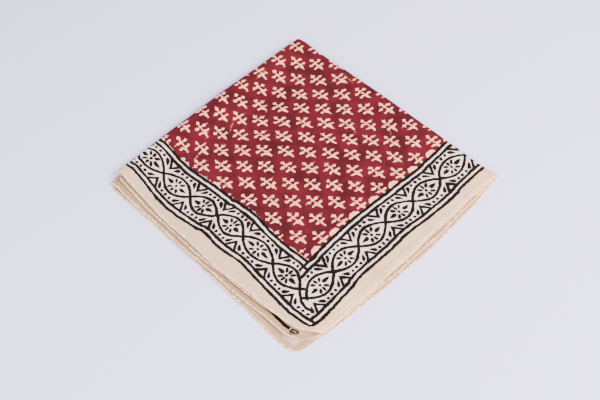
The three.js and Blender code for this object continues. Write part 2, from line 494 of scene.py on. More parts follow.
cloth = buildCloth()
print("cloth built:", len(cloth.data.polygons), "faces")


# machine stitches along the hem, and thread laid over its edge, in millimetres
hemStitches = {
    "inFromEdge": 4.3,
    "fromCorner": 1.0,
    "pitch": 3.1,
    "long": 2.3,
    "thick": 0.34,
    "sunk": 0.06,
    "dip": 0.12,  # how far the ends of a stitch go down into the cloth
    "rings": [(-1.0, 0.35), (-0.55, 1.0), (0.55, 1.0), (1.0, 0.35)],  # place along the stitch, share of its thickness
    "sides": 5,
    "whipFromCorner": 3.0,
    "whipPitch": 2.7,
    "whipUneven": [(0.35, 2.1), (0.25, 5.3)],  # sewn by hand: size, how often
    "whipSlant": 1.1,
    "whipThick": 0.42,
    "whipProud": 0.04,  # off the faces of the hem
    "whipRound": 0.12,  # off its edge
    # over the edge from one face to the other: face, in from the edge, share of the slant, share of the thickness
    "whipRings": [(1, 1.9, -0.5, 0.4), (1, 0.55, -0.1, 1.0), (0, 0.0, 0.0, 1.1), (-1, 0.55, 0.1, 1.0),
                  (-1, 1.9, 0.5, 0.4)],
}


def addThread(verts, faces, rings, thick, sides):
    # a short closed thread through its rings: middle, side and up of each, and its share of the thickness
    base = len(verts)
    for middle, side, up, size in rings:
        for n in range(sides):
            angle = 2 * math.pi * n / sides
            verts.append(middle + (side * math.cos(angle) + up * math.sin(angle)) * 0.5 * thick * size)
    for ring in range(base, len(verts) - sides, sides):
        for n in range(sides):
            m = (n + 1) % sides
            faces.append((ring + n, ring + m, ring + sides + m, ring + sides + n))
    faces.append(tuple(base + n for n in reversed(range(sides))))
    faces.append(tuple(len(verts) - sides + n for n in range(sides)))


def sewHem(verts, faces, settings):
    # a row of stitches beside each of the four edges, on both faces
    line = clothShape["half"] - settings["inFromEdge"]
    reach, first = 0.5 * settings["long"], line - settings["fromCorner"]
    places = np.arange(-first, first, settings["pitch"])
    fixed = np.full_like(places, line)
    rows = [(places, fixed, reach, 0), (places, -fixed, reach, 0),
            (fixed, places, 0, reach), (-fixed, places, 0, reach)]
    for u, v, stepU, stepV in rows:
        middle = sheetMiddle(u, v)
        out = faceDirection(u, v)
        along = unit(sheetMiddle(u + stepU, v + stepV) - sheetMiddle(u - stepU, v - stepV))
        thickness = halfThickness(u, v)[:, None]
        for sign in (1, -1):
            centre = middle + out * (sign * (thickness - settings["sunk"]) + puckerLift(u, v, middle))
            up = out * sign
            side = np.cross(up, along)
            for k in range(len(u)):
                rings = [(centre[k] + along[k] * part * reach - up[k] * (settings["dip"] * abs(part) ** 3),
                          side[k], up[k], size) for part, size in settings["rings"]]
                addThread(verts, faces, rings, settings["thick"], settings["sides"])


def whipHem(verts, faces, settings):
    # thread over the edge of the hem, from one face round to the other
    half = clothShape["half"]
    first = half - settings["whipFromCorner"]
    even = np.arange(-first, first, settings["whipPitch"])
    places = even
    for size, often in settings["whipUneven"]:
        places = places + size * np.sin(often * even)
    last = len(settings["whipRings"]) - 1
    for acrossU in (True, False):
        for edge in (1, -1):
            path = []
            for face, inside, slant, size in settings["whipRings"]:
                fixed = np.full_like(places, edge * (half - inside))
                moving = places + slant * settings["whipSlant"]
                u, v = (fixed, moving) if acrossU else (moving, fixed)
                innerU, innerV = (fixed - edge, moving) if acrossU else (moving, fixed - edge)
                middle, out = sheetMiddle(u, v), faceDirection(u, v)
                outward = unit(middle - sheetMiddle(innerU, innerV))
                lift = face * (halfThickness(u, v)[:, None] + settings["whipProud"])
                middle = middle + out * lift + outward * (settings["whipRound"] if face == 0 else 0.0)
                path.append((middle, outward if face == 0 else out, size))
            for k in range(len(places)):
                rings = []
                for index, (middle, away, size) in enumerate(path):
                    along = unit(path[min(last, index + 1)][0][k] - path[max(0, index - 1)][0][k])
                    side = unit(np.cross(away[k], along))
                    rings.append((middle[k], side, np.cross(along, side), size))
                addThread(verts, faces, rings, settings["whipThick"], settings["sides"])


def buildStitches(settings):
    verts, faces = [], []
    sewHem(verts, faces, settings)
    whipHem(verts, faces, settings)
    verts = np.array(verts) / 1000
    verts[:, 2] = np.maximum(verts[:, 2], 0.00002)  # just clear of the table
    mesh = bpy.data.meshes.new("hemStitching")
    mesh.from_pydata([tuple(p) for p in verts], [], faces)
    mesh.update()
    mesh.shade_smooth()
    stitches = bpy.data.objects.new("hemStitching", mesh)
    scene.collection.objects.link(stitches)
    return stitches


stitches = buildStitches(hemStitches)
print("stitches built:", len(stitches.data.polygons), "faces")


# The block print, charted in millimetres on the sheet. Each border is printed with one long block, so its line
# wanders and steps a little where two prints meet. A dot is its middle and radius, a petal its middle, half
# sizes, turn and taper.
borderChart = {
    "pitch": 37.0,  # one lens
    "lensHalf": 9.3,
    "waveWide": 2.0,
    "waveSwell": 0.92,  # under 1 makes a lens fuller than a plain wave
    "waveThin": 0.22,  # where the waves run steepest they are drawn this much thinner
    "lineNear": 17.0,  # the two ruled lines on each side of the chain
    "lineFar": 22.25,
    "lineWide": 2.2,
    "triangleReach": 8.6,
    "triangleBase": 6.3,
    "triangleWide": 1.7,
    "sideDots": [((0, 13.3), 1.25), ((5.5, 13.3), 1.2)],
    "sideDrop": ((11.9, 11.1), (2.8, 1.15), -47, 0.35),
    "flowerDot": ((0, 0), 1.2),
    "flowerPetals": [((8.3, 0), (3.2, 1.4), 0, 0.45), ((0, 4.9), (1.1, 1.9)), ((4.1, 4.2), (1.05, 1.95), -45)],
    "dropTip": 0.12,  # keeps a drop's tip from closing to nothing
    "inkSpread": 0.5,  # black creeps this far along the threads
    "farEndSooner": 15.5,  # on the far sides of the sheet the ruled lines end this much sooner
    "loop": (243.0, 253.4),  # the cut end of the chain that shows on the third layer
    "loopSize": (2.4, 0.7),
    "loopRound": 0.9,
    "loopInk": 0.3,
    "loopDots": ((242.5, 257.5), (255.0, 258.0)),
    "loopDotSize": 0.7,
}

# the first border runs along v at the far end of u: place, middle of the border, how much it is spread
firstBorder = {
    "middle": [(0, 222.2), (10, 222.7), (30, 223.2), (41, 223.6), (44, 224.6), (60, 224.5), (80, 223.7), (90, 223.5),
               (100, 222.5), (110, 221.7), (120, 221.3), (135, 221.4), (160, 221.5), (172, 221.7), (181, 222.2),
               (190, 223.4), (194, 224.6), (203, 225.1), (211, 226.0), (220, 227.0), (230, 227.8), (245, 228.6),
               (260, 228.8)],
    "spread": [(0, 1.0), (20, 0.985), (44, 1.0), (60, 1.025), (80, 1.04), (100, 1.02), (118, 1.01), (130, 1.04),
               (142, 1.055), (152, 1.05), (165, 1.02), (180, 1.0), (190, 1.01), (203, 1.04), (250, 1.045),
               (260, 1.045)],
    # place of each lens middle and each crossing, counted in lenses
    "lenses": [(0, -0.6), (4, -0.5), (24.2, 0), (43.3, 0.5), (63.4, 1), (82.1, 1.5), (100.5, 2), (119, 2.5),
               (138.5, 3), (156.5, 3.5), (174.6, 4), (193, 4.5), (211.8, 5), (229.5, 5.5), (248, 6), (260, 6.3)],
    # extra ink where one print of the block laps over the last
    "laps": [(0, 0.0), (36, 0.0), (41, 0.28), (46, 0.28), (51, 0.0), (112, 0.0), (118, 0.15), (124, 0.0), (186, 0.0),
             (191, 0.34), (195, 0.3), (201, 0.0), (222, -0.05), (260, -0.05)],
    # on the two far sides of the sheet the print runs nearer its hem towards the corner
    "nearerHem": [(0, 0.0), (200, 0.0), (236, -4.5), (260, -4.5)],
    # where each part stops at the corner, on the field's side and on the hem's side
    "stops": {"near": (218, 244.6), "far": (213, 250.6), "wave": (232.5, 231), "side": (216, 240),
              "flower": (232, 232)},
}

# the second border runs along u at the far end of v
secondBorder = {
    "middle": [(0, 226.2), (4, 226.6), (10, 225.7), (20, 225.5), (30, 225.9), (40, 226.5), (50, 227.1), (60, 226.6),
               (70, 225.7), (80, 224.5), (90, 223.4), (100, 222.3), (106.5, 221.5), (108.5, 220.2), (120, 219.7),
               (130, 219.9), (141, 220.2), (152, 220.5), (162, 220.9), (172, 221.8), (181, 222.6), (190, 223.1),
               (200, 223.8), (210, 225.1), (220, 226.7), (230, 227.7), (250, 228.1), (260, 228.1)],
    "spread": [(0, 0.97), (30, 0.96), (42, 0.985), (50, 1.0), (60, 1.04), (75, 1.065), (90, 1.05), (105, 1.01),
               (112, 1.0), (130, 1.06), (140, 1.03), (150, 0.965), (162, 0.925), (170, 0.93), (180, 0.965),
               (190, 1.0), (202, 1.035), (250, 1.03), (260, 1.03)],
    "lenses": [(0, -0.33), (13.5, 0), (34.6, 0.5), (54.5, 1), (73.4, 1.5), (90, 2), (107, 2.5), (124.3, 3),
               (141, 3.5), (160.5, 4), (181, 4.5), (198.6, 5), (216.8, 5.5), (235, 6), (254, 6.5), (260, 6.65)],
    "laps": [(0, 0.0), (60, 0.0), (98, 0.05), (104, 0.3), (109, 0.3), (114, 0.05), (150, 0.0), (176, 0.05),
             (181, 0.18), (186, 0.0), (212, 0.0), (217, 0.1), (222, 0.0), (260, 0.0)],
    "nearerHem": [(0, -5.5), (12, -5.0), (40, 0.0), (182, 0.0), (204, 3.2), (225, 3.0), (236, 2.7), (260, 2.7)],
    "stops": {"near": (208, 250.5), "far": (203, 252.6), "wave": (221, 240.5), "side": (200, 244),
              "flower": (221, 221)},
}

# how far each curve of a border can go: low and high
curveReach = {"middle": (215, 235), "spread": (0.85, 1.15), "lenses": (-1, 8), "nearerHem": (-10, 10),
              "laps": (-1, 1)}

# the red field: sprigs on a half drop, with the drift of the printer's hand
fieldChart = {
    "pitchU": 30.15,
    "pitchV": 26.6,
    "sprigU": 6.93,  # the first crossing of one sprig
    "sprigV": 16.68,
    "sprigMiddle": 2.3,  # the sprig's own middle is this far past its crossing
    "driftV": [(0, -1.0), (7, 0.0), (21, 1.5), (38, 3.4), (50, 4.1), (67, 2.8), (82, 1.5), (97, 0.2), (112, -1.0),
               (127, -1.6), (143, -2.1), (158, -2.5), (173, -2.8), (190, -3.1), (215, -3.2), (260, -3.2)],
    "driftU": [(0, 0.6), (15, 0.9), (30, 1.7), (43, 1.6), (57, 1.5), (70, 1.3), (84, 0.6), (97, 0.0), (110, -1.1),
               (123, -1.6), (136, -1.8), (149, -1.6), (163, -1.3), (176, -0.7), (190, -0.3), (215, 0.0), (260, 0.0)],
    # the first rows lie nearer the second fold than the block's pitch would put them
    "foldPull": [(0, -2.6), (20, -3.4), (40, -3.9), (72, -3.7), (98, -2.4), (130, -2.0), (170, -1.4), (205, -0.8),
                 (260, 0.0)],
    "foldReach": 55.0,
    "driftReach": (-8, 8),
    "skew": 0.00011,  # the print runs a little wider towards the far corner
    "skewFrom": 110.0,
    "creamShrink": 0.75,
    "scallop": (7.0, 7.1),  # half sizes of the cream scallops beside the first border
}

# one cream sprig, pointed head to -x and blunt stem to +x: bars are middle, half sizes and rounding
sprigChart = {
    "stem": ((2.5, 0), (7.6, 0), 1.3),
    "head": ((-4.7, 0), (3.5, 2.9)),
    "leafBar": ((0, 0), (0, 3.9), 1.5),
    "leaf": ((0.0, 4.7), (2.55, 3.9)),
    "secondLeafBar": ((5.8, 0), (0, 4.9), 1.7),
    "leafLean": 0.1,
    "tailNarrows": 0.19,  # the tail is a wedge from the second leaves to the end of the stem
    "tailStarts": 3.65,
    "tailMiddle": 9.4,
    "tailHalf": 3.7,
}

# creases where the red has worn pale: from (u, v) to (u, v), strength
wornCreases = [
    ((34, 133), (43, 147), 0.55),
    ((41, 186), (44, 196), 0.5),
    ((24, 158), (34, 171), 0.3),
    ((150, 30), (157, 36), 0.35),
    ((124, 54), (132, 60), 0.3),
    ((10, 60), (14, 84), 0.3),
    ((66, 8), (88, 12), 0.3),
]
wornStyle = {
    "halfWidth": 1.1,
    "edge": (1.0, 0.2),  # from the crease's rim to where it has its whole strength
    "broken": (-0.5, 0.4, 0.15, 1.0),  # by the unevenness of the cloth: from, to, least, most
}


def handCurve(tree, along, points, reach):
    # a value that changes along the sheet, drawn through points: place in mm, value inside its reach
    low, high = reach
    part = addNode(tree, "Math", "DIVIDE", along, clothShape["half"])
    bent = addNode(tree, "FloatCurve", None, 1.0, part)
    curve = bent.mapping.curves[0]
    for k, (place, value) in enumerate(points):
        x, y = place / clothShape["half"], (value - low) / (high - low)
        if k < 2:
            curve.points[k].location = (x, y)
        else:
            curve.points.new(x, y)
    for point in curve.points:
        point.handle_type = "AUTO_CLAMPED"
    bent.mapping.update()
    return addNode(tree, "Math", "MULTIPLY_ADD", bent, high - low, low)


# each printed shape below gives the distance outside its own edge, in millimetres
def printDot(tree, place, centre, radius):
    off = addNode(tree, "VectorMath", "DISTANCE", place, (*centre, 0))
    return addNode(tree, "Math", "SUBTRACT", off, radius)


def printPetal(tree, place, centre, size, turn=0.0, taper=0.0):
    # an oval, or with a taper a drop that narrows to a point towards its own +x
    local = addNode(tree, "Mapping", {"vector_type": "TEXTURE"}, place, (*centre, 0), (0, 0, math.radians(turn)),
                    (*size, 1))
    if taper:
        parts = addNode(tree, "SeparateXYZ", None, local)
        narrow = addNode(tree, "Math", "MULTIPLY_ADD", parts.outputs["X"], -taper, 1.0)
        narrow = addNode(tree, "Math", "MAXIMUM", narrow, borderChart["dropTip"])
        wide = addNode(tree, "Math", "DIVIDE", parts.outputs["Y"], narrow)
        local = addNode(tree, "CombineXYZ", None, parts.outputs["X"], wide)
    away = addNode(tree, "VectorMath", "LENGTH", local)
    return addNode(tree, "Math", "MULTIPLY_ADD", away, min(size), -min(size))


def printLozenge(tree, place, centre, size):
    # a pointed leaf with straight sides
    off = addNode(tree, "VectorMath", "SUBTRACT", place, (*centre, 0))
    off = addNode(tree, "VectorMath", "ABSOLUTE", off)
    shares = addNode(tree, "VectorMath", "DOT_PRODUCT", off, (1 / size[0], 1 / size[1], 0))
    slope = math.hypot(1 / size[0], 1 / size[1])
    return addNode(tree, "Math", "MULTIPLY_ADD", shares, 1 / slope, -1 / slope)


def printBar(tree, place, centre, size, rounding):
    # a bar with rounded ends: half sizes to its straight part, then the rounding
    off = addNode(tree, "VectorMath", "SUBTRACT", place, (*centre, 0))
    off = addNode(tree, "VectorMath", "ABSOLUTE", off)
    off = addNode(tree, "VectorMath", "SUBTRACT", off, (*size, 0))
    off = addNode(tree, "VectorMath", "MAXIMUM", off, (0, 0, 0))
    away = addNode(tree, "VectorMath", "LENGTH", off)
    return addNode(tree, "Math", "SUBTRACT", away, rounding)


def together(tree, shapes):
    # the union of several printed shapes
    while len(shapes) > 1:
        pairs = [shapes[i:i + 2] for i in range(0, len(shapes), 2)]
        shapes = [addNode(tree, "Math", "MINIMUM", *pair) if len(pair) == 2 else pair[0] for pair in pairs]
    return shapes[0]


def stopAt(tree, shape, along, outside, stops):
    # cuts a printed shape where its block ends; the hem's side may run on further than the field's side
    limit = addNode(tree, "Math", "MULTIPLY_ADD", outside, stops[1] - stops[0], stops[0])
    past = addNode(tree, "Math", "SUBTRACT", along, limit)
    return addNode(tree, "Math", "MAXIMUM", shape, past)


def borderPrint(tree, along, across, border, nearerHem):
    # one border: place along it and across it, both without sign; returns its black shapes and its own across
    chart, stops = borderChart, border["stops"]
    curves = {name: handCurve(tree, along, border[name], reach) for name, reach in curveReach.items()}
    offset = addNode(tree, "Math", "SUBTRACT", across, curves["middle"])
    shift = addNode(tree, "Math", "MULTIPLY", curves["nearerHem"], nearerHem)
    offset = addNode(tree, "Math", "SUBTRACT", offset, shift)
    offset = addNode(tree, "Math", "DIVIDE", offset, curves["spread"])
    outside = addNode(tree, "Math", "GREATER_THAN", offset, 0.0)
    inLens = addNode(tree, "Math", "WRAP", curves["lenses"], 0.5, -0.5)
    inLens = addNode(tree, "Math", "MULTIPLY", inLens, chart["pitch"])
    sideways = addNode(tree, "Math", "ABSOLUTE", offset)
    lengthways = addNode(tree, "Math", "ABSOLUTE", inLens)
    place = addNode(tree, "CombineXYZ", None, lengthways, sideways)

    # two ruled lines on each side
    endsSooner = addNode(tree, "Math", "MULTIPLY_ADD", nearerHem, chart["farEndSooner"], along)
    ruled = []
    for name, distance in (("near", chart["lineNear"]), ("far", chart["lineFar"])):
        line = addNode(tree, "Math", "SUBTRACT", sideways, distance)
        line = addNode(tree, "Math", "ABSOLUTE", line)
        line = addNode(tree, "Math", "SUBTRACT", line, chart["lineWide"] / 2)
        ruled.append(stopAt(tree, line, endsSooner, outside, stops[name]))

    # two waves that cross between the lenses
    angle = addNode(tree, "Math", "MULTIPLY", inLens, math.pi / chart["pitch"])
    swell = addNode(tree, "Math", "COSINE", angle)
    swell = addNode(tree, "Math", "POWER", swell, chart["waveSwell"])
    wave = addNode(tree, "Math", "MULTIPLY_ADD", swell, -chart["lensHalf"], sideways)
    wave = addNode(tree, "Math", "ABSOLUTE", wave)
    steep = addNode(tree, "Math", "MULTIPLY_ADD", lengthways, -chart["waveThin"] / (chart["pitch"] / 2), 1.0)
    wave = addNode(tree, "Math", "MULTIPLY_ADD", wave, steep, -chart["waveWide"] / 2)
    wave = stopAt(tree, wave, along, outside, stops["wave"])

    # an outlined triangle on the ruled line at each crossing, its point towards the chain
    high = addNode(tree, "Math", "SUBTRACT", chart["lineNear"], sideways)
    aside = addNode(tree, "Math", "SUBTRACT", chart["pitch"] / 2, lengthways)
    slope = math.hypot(1 / chart["triangleBase"], 1 / chart["triangleReach"])
    edge = addNode(tree, "Math", "DIVIDE", high, chart["triangleReach"])
    edge = addNode(tree, "Math", "MULTIPLY_ADD", aside, 1 / chart["triangleBase"], edge)
    edge = addNode(tree, "Math", "MULTIPLY_ADD", edge, 1 / slope, -1 / slope)
    edge = addNode(tree, "Math", "ABSOLUTE", edge)
    edge = addNode(tree, "Math", "SUBTRACT", edge, chart["triangleWide"] / 2)
    low = addNode(tree, "Math", "MULTIPLY", high, -1.0)
    triangle = addNode(tree, "Math", "MAXIMUM", edge, low)

    dots = [printDot(tree, place, *dot) for dot in chart["sideDots"]]
    side = together(tree, [triangle, *dots, printPetal(tree, place, *chart["sideDrop"])])
    side = stopAt(tree, side, along, outside, stops["side"])
    petals = [printPetal(tree, place, *petal) for petal in chart["flowerPetals"]]
    flower = together(tree, [printDot(tree, place, *chart["flowerDot"]), *petals])
    flower = stopAt(tree, flower, along, outside, stops["flower"])
    shapes = addNode(tree, "Math", "SUBTRACT", together(tree, [*ruled, wave, side]), curves["laps"])
    return together(tree, [shapes, flower]), offset


def loopPrint(tree, absU, absV, farU, farV):
    # the cut end of the chain with its dots, only on the layer that is far both ways
    chart = borderChart
    place = addNode(tree, "CombineXYZ", None, absU, absV)
    loop = printBar(tree, place, chart["loop"], chart["loopSize"], chart["loopRound"])
    loop = addNode(tree, "Math", "ABSOLUTE", loop)
    loop = addNode(tree, "Math", "ADD", loop, -chart["loopInk"])
    dots = [printDot(tree, place, centre, chart["loopDotSize"]) for centre in chart["loopDots"]]
    bothFar = addNode(tree, "Math", "MULTIPLY", farU, farV)
    elsewhere = addNode(tree, "Math", "MULTIPLY_ADD", bothFar, -50.0, 50.0)  # pushes the shape away
    return addNode(tree, "Math", "ADD", together(tree, [loop, *dots]), elsewhere)


def sprigPrint(tree, place):
    chart = sprigChart
    parts = addNode(tree, "SeparateXYZ", None, place)
    leaning = addNode(tree, "Math", "MULTIPLY_ADD", parts.outputs["Y"], chart["leafLean"], parts.outputs["X"])
    mirrored = addNode(tree, "Math", "ABSOLUTE", parts.outputs["Y"])
    straight = addNode(tree, "CombineXYZ", None, parts.outputs["X"], mirrored)
    leafPlace = addNode(tree, "CombineXYZ", None, leaning, mirrored)
    wedge = addNode(tree, "Math", "MULTIPLY_ADD", parts.outputs["X"], chart["tailNarrows"], -chart["tailStarts"])
    wedge = addNode(tree, "Math", "ADD", wedge, mirrored)
    tailEnds = addNode(tree, "Math", "SUBTRACT", parts.outputs["X"], chart["tailMiddle"])
    tailEnds = addNode(tree, "Math", "ABSOLUTE", tailEnds)
    tailEnds = addNode(tree, "Math", "SUBTRACT", tailEnds, chart["tailHalf"])
    return together(tree, [
        printBar(tree, straight, *chart["stem"]),
        printLozenge(tree, straight, *chart["head"]),
        printBar(tree, leafPlace, *chart["leafBar"]),
        printLozenge(tree, leafPlace, *chart["leaf"]),
        printBar(tree, leafPlace, *chart["secondLeafBar"]),
        addNode(tree, "Math", "MAXIMUM", wedge, tailEnds),
    ])


def halfDrop(tree, place, absU, absV):
    # sprigs on a half drop: the nearer of two lattices; returns the sprigs and the place in the second lattice
    chart = fieldChart
    halfU, halfV = chart["pitchU"] / 2, chart["pitchV"] / 2
    driftU = handCurve(tree, absV, chart["driftU"], chart["driftReach"])
    fromMiddle = addNode(tree, "Math", "SUBTRACT", absU, chart["skewFrom"])
    skewed = addNode(tree, "Math", "MULTIPLY", absV, chart["skew"])
    driftU = addNode(tree, "Math", "MULTIPLY_ADD", fromMiddle, skewed, driftU)
    nearFold = addNode(tree, "MapRange", softly, absV, 0.0, chart["foldReach"], 1.0, 0.0)
    pulled = handCurve(tree, absU, chart["foldPull"], chart["driftReach"])
    driftV = handCurve(tree, absU, chart["driftV"], chart["driftReach"])
    driftV = addNode(tree, "Math", "MULTIPLY_ADD", pulled, nearFold, driftV)
    drift = addNode(tree, "CombineXYZ", None, driftU, driftV)
    steady = addNode(tree, "VectorMath", "SUBTRACT", place, drift)
    first = (chart["sprigU"] + chart["sprigMiddle"], chart["sprigV"], 0)
    lattice = addNode(tree, "VectorMath", "SUBTRACT", steady, first)
    dropped = addNode(tree, "VectorMath", "ADD", lattice, (halfU, halfV, 0))
    cells = [addNode(tree, "VectorMath", "WRAP", rows, (halfU, halfV, 1), (-halfU, -halfV, -1))
             for rows in (lattice, dropped)]
    away = [addNode(tree, "VectorMath", "LENGTH", cell) for cell in cells]
    nearerDropped = addNode(tree, "Math", "LESS_THAN", away[1], away[0])
    local = addNode(tree, "Mix", {"data_type": "VECTOR"}, nearerDropped, *cells)
    local = addNode(tree, "VectorMath", "ADD", local, (chart["sprigMiddle"], 0, 0))
    return sprigPrint(tree, local), cells[1]


# Plain-weave cotton, hand printed with natural dyes: matte, softly fuzzy, its colour sunk into the threads
printedCotton = {
    "madder": "#541019",
    "madderDeep": "#3B0B11",
    "sprig": "#F2A086",
    "ground": "#D6BCAE",
    "margin": "#DDB48F",
    "marginDeep": "#CFA17B",
    # painted shade for the margin beside the second border
    "paintedMarginShade": "#C3A284",
    "black": "#0D0504",
    "wrongSide": "#CFAC8A",
    # painted shade: brown on the layers beneath, near their hems
    "paintedHemShade": "#8C6846",
    # painted highlight along every edge
    "paintedEdgeHighlight": "#F7CFA0",
    "threadSpacing": 0.9,  # mm; real thread lies at 0.4 mm, drawn coarser so that it shows
    # unevenness of the cloth and the print: how often in a millimetre, detail, roughness
    "uneven": {
        "creep": (0.17, 1.0, 0.5),
        "shortfall": (0.07, 1.0, 0.5),
        "grain": (0.9, 2.0, 0.5),
        "press": (0.06, 1.0, 0.5),
        "jag": (0.42, 1.0, 0.5),
        "dye": (0.05, 4.0, 0.62),
        "margin": (0.05, 4.0, 0.65),
    },
    # how far each one moves an edge, in mm
    "creepReach": 1.3,
    "grainReach": 0.9,
    "pressReach": 0.7,
    "jagReach": 2.6,
    "redShort": (9.0, -3.0),  # the red stops here and there a little short of its line
    # over these distances an edge goes from bare to printed
    "blackEdge": (0.25, -0.2),
    "creamEdge": (0.3, -0.3),
    "redEdge": (0.3, -0.2),
    # from the outer edge inwards, the lower layers get painted shade in brown near their hems, and every edge gets a
    # painted highlight
    "paintedHemShadeReach": (20.0, 3.0),
    "paintedHighlightReach": (1.3, 0.5),
    # how strongly the painted hem shade and the painted edge highlight show
    "paintedHemLightShare": 0.8,
    "paintedMarginShadeReach": (-6.0, 10.0),  # painted shade: the margin beside the second border is painted a little darker, where less light falls on it
    "paintedMarginShadeShare": 0.9,
    "backHides": 0.72,  # share of the print that doesn't show through on the wrong side
    "borderEdge": (0.4, -0.4),
    "dyePatches": (0.36, 0.66),
    "marginPatches": (0.42, 0.75),
    "hemJag": 2.0,  # the painted hem shade and the painted edge highlight end this unevenly
    "slubStretch": [(0.05, 1.1, 1.0), (1.1, 0.05, 1.0)],  # thicker threads run long one way
    "slubShade": (0.7, 1.3, 0.93, 1.05),  # threads catch a little less light between them
    "slubHeight": 1.2,
    "weaveHeight": 0.25,
    "bump": {"Strength": 0.45, "Distance": 0.00012},
    "surface": {"Roughness": 0.88, "IOR": 1.47, "Specular IOR Level": 0.1, "Sheen Weight": 0.02,
                "Sheen Roughness": 0.5},
}


def wornRed(tree, place, jag):
    # where the red has worn pale along a crease, broken up by the weave
    worn = []
    for (startU, startV), (endU, endV), strength in wornCreases:
        middle = ((startU + endU) / 2, (startV + endV) / 2, 0)
        size = (math.hypot(endU - startU, endV - startV) / 2, wornStyle["halfWidth"], 1)
        turn = math.atan2(endV - startV, endU - startU)
        local = addNode(tree, "Mapping", {"vector_type": "TEXTURE"}, place, middle, (0, 0, turn), size)
        away = addNode(tree, "VectorMath", "LENGTH", local)
        worn.append(addNode(tree, "MapRange", softly, away, *wornStyle["edge"], 0.0, strength))
    while len(worn) > 1:
        worn.append(addNode(tree, "Math", "MAXIMUM", worn.pop(0), worn.pop(0)))
    broken = addNode(tree, "MapRange", None, jag, *wornStyle["broken"])
    return addNode(tree, "Math", "MULTIPLY", worn[0], broken)


def plainWeave(tree, place, grain, settings):
    # over and under threads, with a few thicker ones; returns the height and the thicker threads
    parts = addNode(tree, "SeparateXYZ", None, place)
    threads = []
    for axis in ("X", "Y"):
        turns = addNode(tree, "Math", "MULTIPLY", parts.outputs[axis], 2 * math.pi / settings["threadSpacing"])
        threads.append(addNode(tree, "Math", "SINE", turns))
    weave = addNode(tree, "Math", "MULTIPLY", *threads)
    slubs = []
    for stretch in settings["slubStretch"]:
        stretched = addNode(tree, "VectorMath", "MULTIPLY", place, stretch)
        slubs.append(addNode(tree, "TexNoise", {"noise_dimensions": "2D"}, stretched, 1.0, 2.0))
    slubs = addNode(tree, "Math", "ADD", *slubs)
    fibre = addNode(tree, "Math", "MULTIPLY_ADD", slubs, settings["slubHeight"], grain)
    return addNode(tree, "Math", "MULTIPLY_ADD", weave, settings["weaveHeight"], fibre), slubs


